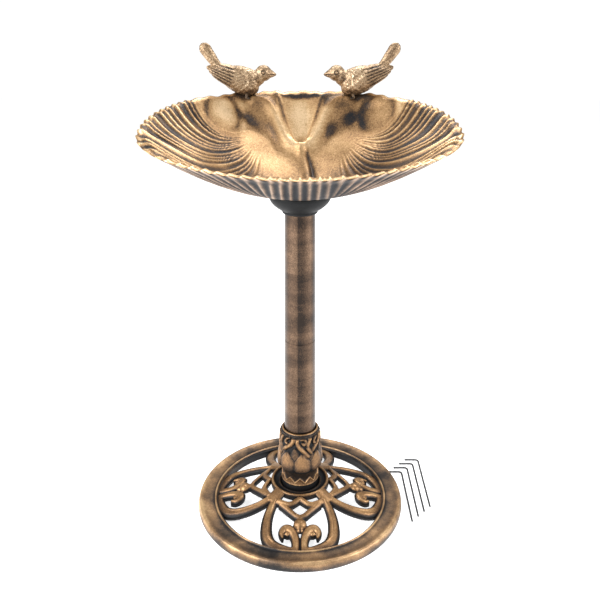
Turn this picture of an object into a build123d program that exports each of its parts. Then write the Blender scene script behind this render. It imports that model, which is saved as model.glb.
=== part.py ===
from build123d import *
import math
import os

os.makedirs("parts", exist_ok=True)

# A pedestal bird bath: an openwork ground base, a two-piece pole in a leaf collar, a black cap
# that the bowl twists onto, a tilted shell bowl with two birds on its back rim, and four ground
# stakes lying beside the base. The origin is the middle of the base on the ground; the front is -Y.

# ---- Driving dimensions, in millimetres and degrees ----
# Ground ring
ring_outer_radius = 167.5
ring_inner_radius = 134.5
ring_height = 16.5
ring_wall = 3.4
ring_foot_height = 12.8
lip_step = 4.7
# Openwork panels
panel_count = 4
panel_thickness = 9.0
panel_foot_height = 12.5
panel_crown_height = 43.6
panel_rise_power = 1.1
loop_width = 17.0
scroll_width = 13.0
vee_width = 9.0
crown_width = 8.0
knot_width = 18.0
knot_length = 22.0
knot_sink = 2.0
knot_inset = 7.0
web_width = 12.0
spoke_width = 12.0
ball_radius = 9.6
# Hub and leaf collar
hub_radius = 47.3
hub_bead_height = 45.2
hub_seat_height = 38.5
hub_seat_margin = 2.0
hub_thickness = 9.5
collar_foot_wall = 4.5
collar_neck_wall = 2.8
collar_leaf_wall = 11.7
collar_band_wall = 7.0
collar_top_wall = 6.0
collar_height = 103.0
collar_web = 6.0
collar_ledge = 5.0
# Pole
pole_socket_depth = 46.5
pole_seam_height = 297.0
pole_top_height = 500.0
pole_radius_low = 25.0
pole_radius_high = 21.3
pole_wall = 2.4
seam_chamfer = 0.5
coupler_half_length = 35.0
coupler_wall = 2.2
# Tie rod, nuts and washers
rod_radius = 4.0
nut_across_flats = 13.0
nut_height = 6.5
washer_radius = 12.0
washer_thickness = 1.6
rod_overhang = 1.5
# Pole cap and twist lock
cap_radius = 43.5
cap_skirt = 7.0
cap_floor = 7.0
cap_height = 21.0
cap_wall = 8.5
lock_ring_wall = 4.5
lug_reach = 3.5
lug_count = 3
lug_angle = 50.0
lug_height = 3.0
lug_gap = 0.5
lock_screw_radius = 1.5
# Bowl
bowl_half_width = 218.0
bowl_half_depth = 161.5
bowl_depth = 86.6
bowl_tilt = 12.0
bowl_wall = 4.0
bowl_seat_margin = 0.5
bowl_seat_gap = 0.4
bowl_curve_power = 1.45
rim_power_mean = 2.2
rim_power_swing = 0.3
# Birds
bird_offset_x = 88.0
bird_rim_inset = 14.5
bird_rise = 17.3
bird_body_length = 84.0
bird_body_depth = 37.0
bird_body_width = 32.0
bird_pitch = 17.0
bird_head_radius = 11.0
bird_wing_length = 78.0
bird_wing_depth = 22.0
bird_tail_length = 50.0
bird_tail_width = 12.0
bird_tail_lean = 24.0
# Ground stakes
stake_count = 4
stake_radius = 1.6
stake_leg = 130.0
stake_hook = 24.0
stake_bend = 5.0
stake_leg_gap = 11.5
stake_tip_gap = 4.0
stake_pitch_x = 11.5
stake_pitch_y = 12.0
# Fits
slip_fit = 0.2
turning_gap = 0.35

# ---- Sizes that follow from them ----
lip_radius = ring_inner_radius + lip_step
openwork_span = ring_inner_radius - hub_radius
hub_seat_radius = pole_radius_low + collar_foot_wall + hub_seat_margin
pole_seat_height = hub_seat_height + collar_height - pole_socket_depth
cap_recess_radius = cap_radius - cap_wall
lock_ring_radius = cap_recess_radius - lug_reach - 2 * turning_gap
bowl_seat_radius = cap_radius + bowl_seat_margin
bowl_rim_height = pole_top_height + cap_height + bowl_seat_gap + bowl_depth


def save(shape, node):
    """Write one sub-part as its own file."""
    export_step(shape, f"parts/{node}.step")


def turned(*runs):
    """A solid of revolution from runs of (radius, height): two points a line, more a curve."""
    edges = [Line(*run) if len(run) == 2 else Spline(*run) for run in runs]
    return revolve(Plane.XZ * make_face(edges), Axis.Z, 360)


def pole_radius(height):
    """Outer radius of the tapered pole at a height."""
    share = (height - pole_seat_height) / (pole_top_height - pole_seat_height)
    return pole_radius_low + share * (pole_radius_high - pole_radius_low)


def tapered_tube(low, high, outer_offset, inner_offset):
    """A tube that follows the pole's taper, its skins set in or out from the pole's outside."""
    corners = [
        (pole_radius(low) + inner_offset, low),
        (pole_radius(low) + outer_offset, low),
        (pole_radius(high) + outer_offset, high),
        (pole_radius(high) + inner_offset, high),
    ]
    return revolve(Plane.XZ * make_face(Polyline(*corners, close=True)), Axis.Z, 360)


# ---- Base ----
def base_ring():
    """The ground ring: rolled outer edge, shallow dished band, raised lip, hollow underneath."""
    outer = ring_outer_radius
    skin = turned(
        [(outer - 3.0, 0), (outer - 0.5, 3.0), (outer, 8.0), (outer - 1.2, 13.0), (outer - 5.0, ring_height)],
        [(outer - 5.0, ring_height), (outer - 10.5, ring_height - 1.2), (lip_radius + 11.0, ring_height - 2.2),
         (lip_radius + 4.0, ring_height - 1.8), (lip_radius + 2.0, ring_height - 0.6)],
        [(lip_radius + 2.0, ring_height - 0.6), (lip_radius, ring_height),
         (lip_radius - 2.2, ring_height - 1.2), (lip_radius - 2.8, ring_foot_height)],
        [(lip_radius - 2.8, ring_foot_height), (ring_inner_radius, ring_foot_height)],
        [(ring_inner_radius, ring_foot_height), (ring_inner_radius, 0)],
        [(ring_inner_radius, 0), (outer - 3.0, 0)],
    )
    low, high = ring_inner_radius + ring_wall, outer - ring_wall - 1.0
    roof = ring_height - 2.2 - ring_wall
    groove = turned(
        [(low, -1), (low, roof - 3.0)],
        [(low, roof - 3.0), (low + 3.0, roof)],
        [(low + 3.0, roof), (high - 3.0, roof)],
        [(high - 3.0, roof), (high, roof - 3.0)],
        [(high, roof - 3.0), (high, -1)],
        [(high, -1), (low, -1)],
    )
    return skin - groove


def openwork_height(radius):
    """Height of the openwork's upper face, climbing from the ring to the hub."""
    share = (ring_inner_radius - radius) / (ring_inner_radius - hub_radius)
    return panel_foot_height + (panel_crown_height - panel_foot_height) * share**panel_rise_power


def openwork_shell():
    """The dished blanket between ring and hub that the bars are cut from."""
    radii = [hub_radius + k * (ring_inner_radius - hub_radius) / 6 for k in range(7)]
    top = [(r, openwork_height(r)) for r in radii]
    bottom = [(r, z - panel_thickness) for r, z in reversed(top)]
    return turned(top, [top[-1], bottom[0]], bottom, [bottom[-1], top[0]])


def bar(points, width, end_width=None):
    """A flat bar in plan along a smooth centre line, its width changing evenly along it."""
    end_width = end_width or width
    line = Spline(*points)
    left, right = [], []
    steps = 4 * (len(points) - 1)
    for k in range(steps + 1):
        share = k / steps
        half = (width + share * (end_width - width)) / 2
        along = line % share
        side = Vector(-along.Y, along.X, 0) * half
        left.append(line @ share + side)
        right.append(line @ share - side)
    edges = [Spline(*left), Line(left[-1], right[-1]), Spline(*reversed(right)), Line(right[0], left[0])]
    return make_face(edges)


def spots(*shares):
    """Plan points from pairs of shares of the openwork's span: sideways, and outwards from the hub."""
    return [(side * openwork_span, hub_radius + out * openwork_span) for side, out in shares]


def panel_half_plan():
    """Plan of one half of a panel: x sideways, y outwards from the hub; the other half mirrors it."""
    knot = hub_radius / math.sqrt(2) + knot_inset
    loop = bar([(knot, knot + 3.0)] + spots((0.556, 0.233), (0.601, 0.421), (0.603, 0.592), (0.573, 0.725),
                                            (0.505, 0.845), (0.378, 0.920)), loop_width - 3.0, loop_width)
    web = bar(spots((0.401, 0.908), (0.275, 0.954), (0.149, 0.960), (0.034, 0.943)), web_width, web_width - 3.0)
    stem = bar(spots((0.060, 0.989), (0.057, 0.817), (0.080, 0.712), (0.138, 0.616), (0.211, 0.570),
                     (0.275, 0.587), (0.310, 0.662), (0.281, 0.748)), scroll_width, scroll_width - 3.5)
    vee = bar(spots((0.0, 0.352), (0.103, 0.318), (0.218, 0.214), (0.344, 0.083)), vee_width)
    crown = bar(spots((0.0, 0.030), (0.063, 0.070), (0.126, 0.111), (0.229, 0.117), (0.413, 0.020)), crown_width)
    block = Rotation(0, 0, 45) * Location((hub_radius + knot_length / 2 - knot_sink, 0))
    block *= Rectangle(knot_length, knot_width)
    spoke = Location(spots((0.0, 0.421))[0]) * Rectangle(spoke_width, 0.16 * openwork_span)
    return loop + web + stem + vee + crown + block + spoke


def scrollwork_panel(shell):
    """The front panel: a loop, a fleur-de-lis of two scrolls and a crown, cut from the shell."""
    half = panel_half_plan()
    plan = half + mirror(half, Plane.YZ) + Location(spots((0.0, 0.501))[0]) * Circle(ball_radius)
    reach = ring_outer_radius
    wedge = make_face(Polyline((0, 0), (reach, reach), (-reach, reach), (0, 0)))
    bars = extrude(plan & wedge, amount=2 * hub_bead_height)
    return Rotation(0, 0, 180) * (bars & shell)


def base_hub():
    """The dished hub: outer bead, seat for the collar and a hole for the tie rod."""
    rim, seat = hub_radius, hub_seat_height
    body = turned(
        [(rim, panel_crown_height - panel_thickness), (rim, hub_bead_height - 2.0)],
        [(rim, hub_bead_height - 2.0), (rim - 2.7, hub_bead_height), (rim - 5.0, hub_bead_height - 1.6),
         (rim - 8.0, seat + 2.4), (hub_seat_radius + 3.6, seat + 0.8)],
        [(hub_seat_radius + 3.6, seat + 0.8), (hub_seat_radius + 1.8, seat + 2.0), (hub_seat_radius, seat)],
        [(hub_seat_radius, seat), (rod_radius + slip_fit, seat)],
        [(rod_radius + slip_fit, seat), (rod_radius + slip_fit, seat - hub_thickness)],
        [(rod_radius + slip_fit, seat - hub_thickness), (rim - 6.0, seat - hub_thickness)],
        [(rim - 6.0, seat - hub_thickness), (rim, panel_crown_height - panel_thickness)],
    )
    return body


def leaf_collar():
    """The collar that holds the pole: leafed foot, petal swell, scroll band and two beads."""
    foot, top = hub_seat_height, hub_seat_height + collar_height
    swell, neck = foot + 0.43 * collar_height, foot + 0.19 * collar_height
    foot_radius, neck_radius = pole_radius_low + collar_foot_wall, pole_radius_low + collar_neck_wall
    leaf_radius, band_radius = pole_radius_low + collar_leaf_wall, pole_radius_low + collar_band_wall
    top_radius, hollow = pole_radius_low + collar_top_wall, pole_radius_low - collar_ledge
    bore = pole_radius(top) + slip_fit
    seat_bore = pole_radius(pole_seat_height) + slip_fit
    return turned(
        [(rod_radius + slip_fit, foot), (foot_radius, foot)],
        [(foot_radius, foot), (foot_radius + 0.6, foot + 3.5), (neck_radius, neck),
         (leaf_radius - 2.4, foot + 0.36 * collar_height), (leaf_radius, swell), (band_radius + 1.5, swell + 6.0)],
        [(band_radius + 1.5, swell + 6.0), (band_radius, swell + 9.0), (top_radius, top - 20.0)],
        [(top_radius, top - 20.0), (top_radius + 0.6, top - 17.0), (top_radius - 1.8, top - 12.0)],
        [(top_radius - 1.8, top - 12.0), (top_radius, top - 6.5),
         (top_radius - 0.4, top - 2.0), (top_radius - 3.0, top)],
        [(top_radius - 3.0, top), (bore, top)],
        [(bore, top), (seat_bore, pole_seat_height)],
        [(seat_bore, pole_seat_height), (hollow, pole_seat_height)],
        [(hollow, pole_seat_height), (hollow, foot + collar_web)],
        [(hollow, foot + collar_web), (rod_radius + slip_fit, foot + collar_web)],
        [(rod_radius + slip_fit, foot + collar_web), (rod_radius + slip_fit, foot)],
    )


# ---- Pole and its clamp ----
def pole_tube(low, high, seam_is_high):
    """One pole section, its outer edge at the seam broken by a small chamfer."""
    tube = tapered_tube(low, high, 0, -pole_wall)
    seam = tube.faces().sort_by(Axis.Z)[-1 if seam_is_high else 0]
    edge = seam.edges().sort_by(SortBy.RADIUS)[-1]
    return chamfer(edge, seam_chamfer)


def cap_floor_top():
    """Height of the cap's inner floor, which the top washer presses on."""
    return pole_top_height + cap_floor


def hub_underside():
    """Height of the hub's underside, which the foot washer presses on."""
    return hub_seat_height - hub_thickness


def washer(low):
    """A flat washer on the tie rod, from a height up."""
    ring = Circle(washer_radius) - Circle(rod_radius + slip_fit)
    return Location((0, 0, low)) * extrude(ring, amount=washer_thickness)


def nut(low):
    """A hexagon nut on the tie rod, from a height up."""
    outline = RegularPolygon(nut_across_flats / 2, 6, major_radius=False) - Circle(rod_radius)
    return Location((0, 0, low)) * extrude(outline, amount=nut_height)


def tie_rod():
    """The rod that clamps hub, collar, pole and cap together."""
    stack = washer_thickness + nut_height + rod_overhang
    low, high = hub_underside() - stack, cap_floor_top() + stack
    rod = Location((0, 0, low)) * extrude(Circle(rod_radius), amount=high - low)
    return chamfer(rod.edges(), 0.8)


# ---- Cap and twist lock ----
def cap_top():
    """Height of the cap's upper edge."""
    return pole_top_height + cap_height


def lug_ring(inner, outer, low):
    """The ring of evenly spaced lugs between two radii."""
    band = Circle(outer) - Circle(inner)
    lugs = Part()
    for k in range(lug_count):
        middle = math.radians(90 + k * 360 / lug_count)
        half = math.radians(lug_angle / 2)
        far = 2 * outer
        a, b = middle - half, middle + half
        corners = [(0, 0), (far * math.cos(a), far * math.sin(a)), (far * math.cos(b), far * math.sin(b))]
        lugs += extrude(band & make_face(Polyline(*corners, close=True)), amount=lug_height)
    return Location((0, 0, low)) * lugs


def lock_lug_low():
    """Height of the underside of the bowl's own lugs."""
    return cap_floor_top() + 1.5


def pole_cap():
    """The black cap: a skirt round the pole's end, a floor for the nut, a recess with lugs."""
    low, floor, top = pole_top_height - cap_skirt, cap_floor_top(), cap_top()
    grip = pole_radius(low) + slip_fit
    shell = turned(
        [(grip, low), (grip + 2.4, low)],
        [(grip + 2.4, low), (grip + 3.4, low + 1.6), (grip + 3.2, low + 3.2)],
        [(grip + 3.2, low + 3.2), (cap_radius - 8.4, pole_top_height + 3.4),
         (cap_radius - 2.5, pole_top_height + 10.0), (cap_radius, top - 5.0)],
        [(cap_radius, top - 5.0), (cap_radius, top - 1.5)],
        [(cap_radius, top - 1.5), (cap_radius - 1.5, top)],
        [(cap_radius - 1.5, top), (cap_recess_radius, top)],
        [(cap_recess_radius, top), (cap_recess_radius, floor)],
        [(cap_recess_radius, floor), (rod_radius + slip_fit, floor)],
        [(rod_radius + slip_fit, floor), (rod_radius + slip_fit, pole_top_height)],
        [(rod_radius + slip_fit, pole_top_height), (grip, pole_top_height)],
        [(grip, pole_top_height), (grip, low)],
    )
    keepers = lug_ring(lock_ring_radius + turning_gap, cap_recess_radius + 0.5,
                       lock_lug_low() + lug_height + lug_gap)
    return shell + keepers


def bowl_lock_ring():
    """The ring under the bowl whose lugs turn in beneath the cap's lugs."""
    top = cap_top() + bowl_seat_gap
    wall = Circle(lock_ring_radius) - Circle(lock_ring_radius - lock_ring_wall)
    height = top - lock_lug_low()
    ring = Location((0, 0, lock_lug_low())) * extrude(wall, amount=height)
    ring += lug_ring(lock_ring_radius - 1.0, cap_recess_radius - turning_gap, lock_lug_low())
    for hole in lock_screw_shanks():
        ring -= hole
    return ring


def lock_screw_shanks():
    """The shanks of the screws that hold the lock ring to the bowl's underside."""
    radius = lock_ring_radius - lock_ring_wall / 2
    low, high = lock_lug_low() - 0.6, cap_top() + bowl_seat_gap + bowl_wall - 1.4
    shanks = []
    for k in range(lug_count):
        angle = math.radians(30 + k * 360 / lug_count)
        spot = Location((radius * math.cos(angle), radius * math.sin(angle), low))
        shanks.append(spot * extrude(Circle(lock_screw_radius), amount=high - low))
    return shanks


# ---- Bowl ----
def rim_point(angle, half_width, half_depth):
    """A point of the bowl's outline in plan: fuller at the back than at the front."""
    power = rim_power_mean + rim_power_swing * math.sin(angle)
    across, along = math.cos(angle), math.sin(angle)
    reach = (abs(across) ** power + abs(along) ** power) ** (-1 / power)
    return half_width * reach * across, half_depth * reach * along


def bowl_section(share, inset, lift):
    """A closed outline of the bowl, from the seat (share 0) to the rim (share 1)."""
    seat = cap_top() + bowl_seat_gap
    half_width = bowl_seat_radius + share * (bowl_half_width - bowl_seat_radius) - inset
    half_depth = bowl_seat_radius + share * (bowl_half_depth - bowl_seat_radius) - inset
    middle = seat + (bowl_rim_height - seat) * share**bowl_curve_power + lift
    slope = share * math.tan(math.radians(bowl_tilt))
    points = []
    for k in range(36):
        x, y = rim_point(2 * math.pi * k / 36, half_width, half_depth)
        points.append((x, y, middle + slope * y))
    return make_face(Spline(*points, periodic=True))


def bowl_body():
    """The thin tilted bowl: an outer skin less an inner one."""
    shares = (0.0, 0.25, 0.5, 0.75, 1.0)
    outer = loft([bowl_section(share, 0, 0) for share in shares])
    cut_shares = (0.0, 0.25, 0.5, 0.75, 1.04)
    inner = loft([bowl_section(share, bowl_wall * 0.8, bowl_wall) for share in cut_shares])
    return outer - inner


def bowl(body):
    """The bowl with its blind screw holes."""
    for hole in lock_screw_shanks():
        body -= hole
    return body


# ---- Birds ----
def egg(length, depth, width):
    """An ellipsoid with its three full sizes along X, Z and Y."""
    return scale(Sphere(0.5), by=(length, width, depth))


def bird(side):
    """A perching bird that looks towards the middle, its tail cocked up; side is -1 left, 1 right."""
    torso = Rotation(0, bird_pitch, 0) * egg(bird_body_length, bird_body_depth, bird_body_width)
    head = Location((34.0, 0, 11.5)) * Sphere(bird_head_radius)
    beak = Location((47.0, 0, 9.6)) * Rotation(0, 100, 0) * Cone(4.4, 0.6, 12.0)
    wing = Rotation(0, bird_pitch, 0) * egg(bird_wing_length, bird_wing_depth, bird_body_width + 4.0)
    wing = Location((-16.0, 0, 9.0)) * wing
    tail = Rotation(0, -bird_tail_lean, 0) * egg(bird_tail_width, bird_tail_length, bird_tail_width + 4.0)
    tail = Location((-50.0, 0, 33.0)) * tail
    foot = Location((5.0, 0, -18.0)) * Cylinder(6.0, 10.0)
    whole = torso + head + beak + wing + tail + foot
    if side > 0:
        whole = mirror(whole, Plane.YZ)
    y = bowl_half_depth - bird_rim_inset
    height = bowl_rim_height + y * math.tan(math.radians(bowl_tilt)) + bird_rise
    return Location((side * bird_offset_x, y, height)) * whole


def perched_bird(side, rim):
    """A bird with the rim it straddles cut out, less the sliver of belly that falls behind the rim."""
    return (bird(side) - rim).solids().sort_by(SortBy.VOLUME)[-1]


# ---- Ground stakes ----
def ground_stake(index):
    """One bent-wire stake lying on the ground, its hook turned in towards the base."""
    x = ring_outer_radius + stake_leg_gap
    tip = x - stake_hook - stake_tip_gap
    y = math.sqrt(max(ring_outer_radius**2 - tip**2, 0)) + stake_radius
    x, y = x + index * stake_pitch_x, y + index * stake_pitch_y
    path = FilletPolyline((x, y - stake_leg, stake_radius), (x, y, stake_radius),
                          (x - stake_hook, y, stake_radius), radius=stake_bend)
    start = Plane(origin=path @ 0, z_dir=path % 0)
    return sweep(start * Circle(stake_radius), path)


# ---- Build every sub-part ----
save(base_ring(), "base_ring")
panel = scrollwork_panel(openwork_shell())
for k, where in enumerate(("front", "right", "back", "left")):
    save(Rotation(0, 0, k * 360 / panel_count) * panel, f"base_scrollwork_{where}")
save(base_hub(), "base_hub")
save(leaf_collar(), "leaf_collar")
save(pole_tube(pole_seat_height, pole_seam_height, True), "lower_pole")
save(pole_tube(pole_seam_height, pole_top_height, False), "upper_pole")
save(tapered_tube(pole_seam_height - coupler_half_length, pole_seam_height + coupler_half_length,
                  -pole_wall - slip_fit, -pole_wall - slip_fit - coupler_wall), "pole_coupler")
save(tie_rod(), "tie_rod")
save(washer(hub_underside() - washer_thickness), "foot_washer")
save(nut(hub_underside() - washer_thickness - nut_height), "foot_nut")
save(washer(cap_floor_top()), "top_washer")
save(nut(cap_floor_top() + washer_thickness), "top_nut")
save(pole_cap(), "pole_cap")
save(bowl_lock_ring(), "bowl_lock_ring")
save(Compound(children=lock_screw_shanks()), "lock_ring_screws")
bowl_blank = bowl_body()
save(bowl(bowl_blank), "bowl")
save(perched_bird(-1, bowl_blank), "left_bird")
save(perched_bird(1, bowl_blank), "right_bird")
for k in range(stake_count):
    save(ground_stake(k), f"ground_stake_{k + 1}")
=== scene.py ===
import math

import bpy
import numpy as np
from mathutils import Matrix, Vector


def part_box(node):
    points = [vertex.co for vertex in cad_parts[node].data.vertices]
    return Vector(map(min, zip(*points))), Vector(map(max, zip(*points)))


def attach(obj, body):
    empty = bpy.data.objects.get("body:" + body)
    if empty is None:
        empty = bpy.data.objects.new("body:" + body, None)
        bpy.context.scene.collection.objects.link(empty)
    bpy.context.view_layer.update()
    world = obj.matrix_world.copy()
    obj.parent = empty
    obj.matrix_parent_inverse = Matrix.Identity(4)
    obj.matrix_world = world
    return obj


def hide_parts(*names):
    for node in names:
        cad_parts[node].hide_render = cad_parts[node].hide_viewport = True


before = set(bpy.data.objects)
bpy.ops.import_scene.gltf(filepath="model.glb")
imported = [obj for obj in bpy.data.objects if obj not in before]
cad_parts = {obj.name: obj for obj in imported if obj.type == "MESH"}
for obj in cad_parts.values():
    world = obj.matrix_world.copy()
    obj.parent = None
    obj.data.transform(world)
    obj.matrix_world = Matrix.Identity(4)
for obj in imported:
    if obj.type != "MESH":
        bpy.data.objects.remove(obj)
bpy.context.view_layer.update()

MM = 0.001
PANELS = ("front", "right", "back", "left")


# ---- Mesh helpers; shapes are worked out in millimetres ----
def add_object(name, data):
    """A new object in the scene."""
    added = bpy.data.objects.new(name, data)
    bpy.context.scene.collection.objects.link(added)
    return added


def smooth_object(name, mesh):
    """A new object in the scene, its mesh shaded smooth."""
    mesh.polygons.foreach_set("use_smooth", np.ones(len(mesh.polygons), bool))
    return add_object(name, mesh)


def make_object(name, verts, faces, relief=None):
    """A smooth mesh object from points in millimetres; relief runs from 0 in grooves to 1 on crests, and on the bowl
    also carries painted shadow and shade.
    """
    mesh = bpy.data.meshes.new(name)
    mesh.from_pydata((np.asarray(verts) * MM).tolist(), [], faces)
    mesh.validate()
    piece = smooth_object(name, mesh)
    if relief is not None:
        set_relief(piece, relief)
    return piece


def set_relief(piece, values):
    """Stores the relief of every vertex, with any painted light and shade in it, which the bronze finish reads."""
    layer = piece.data.attributes.new("relief", "FLOAT", "POINT")
    layer.data.foreach_set("value", np.clip(values, 0, 1).astype(np.float32))


def points_of(piece):
    """The vertices of a mesh object in millimetres."""
    co = np.zeros(len(piece.data.vertices) * 3, np.float32)
    piece.data.vertices.foreach_get("co", co)
    return co.reshape(-1, 3).astype(float) / MM


def normals_of(piece):
    """The vertex normals of a mesh object."""
    n = np.zeros(len(piece.data.vertices) * 3, np.float32)
    piece.data.vertex_normals.foreach_get("vector", n)
    return n.reshape(-1, 3).astype(float)


def move_points(piece, points):
    """Puts the vertices of a mesh object at points in millimetres."""
    piece.data.vertices.foreach_set("co", (points * MM).astype(np.float32).ravel())
    piece.data.update()


def ring_faces(around, along, closed=False):
    """Faces of a grid that closes on itself around, and along too if closed."""
    faces = []
    last = along if closed else along - 1
    for i in range(around):
        j = (i + 1) % around
        for k in range(last):
            m = (k + 1) % along
            faces.append((i * along + k, j * along + k, j * along + m, i * along + m))
    return faces


def capped_faces(along, around):
    """Faces of a tube of closed sections, with a cap at each end."""
    faces = []
    for k in range(along - 1):
        for j in range(around):
            m = (j + 1) % around
            faces.append((k * around + j, (k + 1) * around + j, (k + 1) * around + m, k * around + m))
    faces.append(tuple(range(around)))
    faces.append(tuple(reversed(range((along - 1) * around, along * around))))
    return faces


def fused(name, parts, voxel):
    """One skin over overlapping closed parts, each a pair of points and faces."""
    verts, faces = [], []
    for points, polygons in parts:
        base = len(verts)
        verts.extend(np.asarray(points).tolist())
        faces.extend([tuple(base + i for i in f) for f in polygons])
    rough = make_object(name + "_rough", verts, faces)
    remesh = rough.modifiers.new("skin", "REMESH")
    remesh.mode = "VOXEL"
    remesh.voxel_size = voxel * MM
    soft = rough.modifiers.new("soft", "SMOOTH")
    soft.factor, soft.iterations = 0.5, 2
    graph = bpy.context.evaluated_depsgraph_get()
    mesh = bpy.data.meshes.new_from_object(rough.evaluated_get(graph))
    mesh.name = name
    bpy.data.objects.remove(rough)
    return smooth_object(name, mesh)


def curve_through(points, steps):
    """A smooth line through points: evenly stepped Catmull-Rom spans."""
    p = np.asarray(points, float)
    p = np.vstack([2 * p[0] - p[1], p, 2 * p[-1] - p[-2]])
    out = []
    for k in range(1, len(p) - 2):
        for t in np.arange(steps) / steps:
            out.append(0.5 * (2 * p[k] + (p[k + 1] - p[k - 1]) * t
                              + (2 * p[k - 1] - 5 * p[k] + 4 * p[k + 1] - p[k + 2]) * t**2
                              + (3 * p[k] - p[k - 1] - 3 * p[k + 1] + p[k + 2]) * t**3))
    out.append(p[-2])
    return np.array(out)


def smooth_step(low, high, value):
    """0 below low, 1 above high, and a smooth rise between."""
    t = np.clip((value - low) / (high - low), 0, 1)
    return t * t * (3 - 2 * t)


def bump(value, width):
    """A bell of height 1 about 0."""
    return np.exp(-((value / width) ** 2))


def spot(across, along, width):
    """A round bell of height 1, from the two distances to its middle."""
    return bump(np.hypot(across, along), width)


def distance_to_line(x, y, line):
    """Distance in the plane to a line of points."""
    best = np.full(np.shape(x), 1e9)
    for (ax, ay), (bx, by) in zip(line[:-1], line[1:]):
        dx, dy = bx - ax, by - ay
        t = np.clip(((x - ax) * dx + (y - ay) * dy) / (dx * dx + dy * dy), 0, 1)
        best = np.minimum(best, np.hypot(x - ax - t * dx, y - ay - t * dy))
    return best


def ellipsoid(centre, radii, pitch=0.0, rings=28, segments=40):
    """A closed ellipsoid, turned about Y; pitch in degrees lowers its +X end."""
    verts, faces = [], []
    for i in range(1, rings):
        a = math.pi * i / rings
        for j in range(segments):
            b = 2 * math.pi * j / segments
            verts.append((radii[0] * math.sin(a) * math.cos(b), radii[1] * math.sin(a) * math.sin(b),
                          radii[2] * math.cos(a)))
    verts += [(0, 0, radii[2]), (0, 0, -radii[2])]
    top, bottom = len(verts) - 2, len(verts) - 1
    for i in range(rings - 2):
        for j in range(segments):
            k = (j + 1) % segments
            faces.append((i * segments + j, (i + 1) * segments + j, (i + 1) * segments + k, i * segments + k))
    for j in range(segments):
        k = (j + 1) % segments
        faces.append((top, j, k))
        faces.append((bottom, (rings - 2) * segments + k, (rings - 2) * segments + j))
    p = np.array(verts)
    c, s = math.cos(math.radians(pitch)), math.sin(math.radians(pitch))
    turned = np.stack([c * p[:, 0] + s * p[:, 2], p[:, 1], -s * p[:, 0] + c * p[:, 2]], 1)
    return turned + np.array(centre), faces


def tube(line, radii, segments=16):
    """A closed round tube along a line in space, its radius changing along it."""
    askew = (0.13, 0.97, 0.21)      # a direction that no tube runs in
    line = np.asarray(line, float)
    verts, faces = [], []
    for k, centre in enumerate(line):
        along = line[min(k + 1, len(line) - 1)] - line[max(k - 1, 0)]
        along /= np.linalg.norm(along)
        side = np.cross(along, askew)
        side /= np.linalg.norm(side)
        up = np.cross(side, along)
        for j in range(segments):
            a = 2 * math.pi * j / segments
            verts.append(centre + radii[k] * (math.cos(a) * side + math.sin(a) * up))
    for k in range(len(line) - 1):
        for j in range(segments):
            m = (j + 1) % segments
            faces.append((k * segments + j, k * segments + m, (k + 1) * segments + m, (k + 1) * segments + j))
    faces.append(tuple(reversed(range(segments))))
    faces.append(tuple(range((len(line) - 1) * segments, len(line) * segments)))
    return np.array(verts), faces


# ---- Finishes ----
def shader(name):
    """A new node material, its node tree and its principled shader."""
    material = bpy.data.materials.new(name)
    material.use_nodes = True
    return material, material.node_tree, material.node_tree.nodes["Principled BSDF"]


def noise(tree, coords, scale, detail, roughness, stretch=None):
    """A noise pattern on object coordinates, which stretch can scale along each axis."""
    node = tree.nodes.new("ShaderNodeTexNoise")
    node.inputs["Scale"].default_value = scale
    node.inputs["Detail"].default_value = detail
    node.inputs["Roughness"].default_value = roughness
    if stretch:
        mapping = tree.nodes.new("ShaderNodeMapping")
        mapping.inputs["Scale"].default_value = stretch
        tree.links.new(coords, mapping.inputs["Vector"])
        coords = mapping.outputs["Vector"]
    tree.links.new(coords, node.inputs["Vector"])
    return node.outputs["Fac"]


def maths(tree, operation, a, b):
    """A maths node; each input is a socket or a number."""
    node = tree.nodes.new("ShaderNodeMath")
    node.operation = operation
    for socket, value in zip(node.inputs, (a, b)):
        if isinstance(value, (int, float)):
            socket.default_value = value
        else:
            tree.links.new(value, socket)
    return node.outputs[0]


def ramp(tree, value, stops):
    """A colour ramp with (position, colour) stops."""
    node = tree.nodes.new("ShaderNodeValToRGB")
    while len(node.color_ramp.elements) < len(stops):
        node.color_ramp.elements.new(0.5)
    for element, (position, colour) in zip(node.color_ramp.elements, stops):
        element.position = position
        element.color = (*colour, 1)
    tree.links.new(value, node.inputs["Fac"])
    return node.outputs["Color"]


def weighted(tree, tone, pattern, weight):
    """Adds a pattern that is centred on 0.5 to a tone, times its weight."""
    return maths(tree, "ADD", tone, maths(tree, "MULTIPLY", maths(tree, "SUBTRACT", pattern, 0.5), weight))


def add_bump(tree, bsdf, height, strength, distance):
    """Raises the surface by a height pattern; distance is in metres."""
    node = tree.nodes.new("ShaderNodeBump")
    node.inputs["Strength"].default_value = strength
    node.inputs["Distance"].default_value = distance
    tree.links.new(height, node.inputs["Height"])
    tree.links.new(node.outputs["Normal"], bsdf.inputs["Normal"])


def set_surface(tree, bsdf, tone, stops, rough, metallic, gloss):
    """Colour by a ramp over a tone, and roughness between two values that follows the same tone."""
    tree.links.new(ramp(tree, tone, stops), bsdf.inputs["Base Color"])
    rough_map = tree.nodes.new("ShaderNodeMapRange")
    rough_map.inputs["To Min"].default_value, rough_map.inputs["To Max"].default_value = rough
    tree.links.new(tone, rough_map.inputs["Value"])
    tree.links.new(rough_map.outputs["Result"], bsdf.inputs["Roughness"])
    bsdf.inputs["Metallic"].default_value = metallic
    bsdf.inputs["Specular IOR Level"].default_value = gloss


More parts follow.
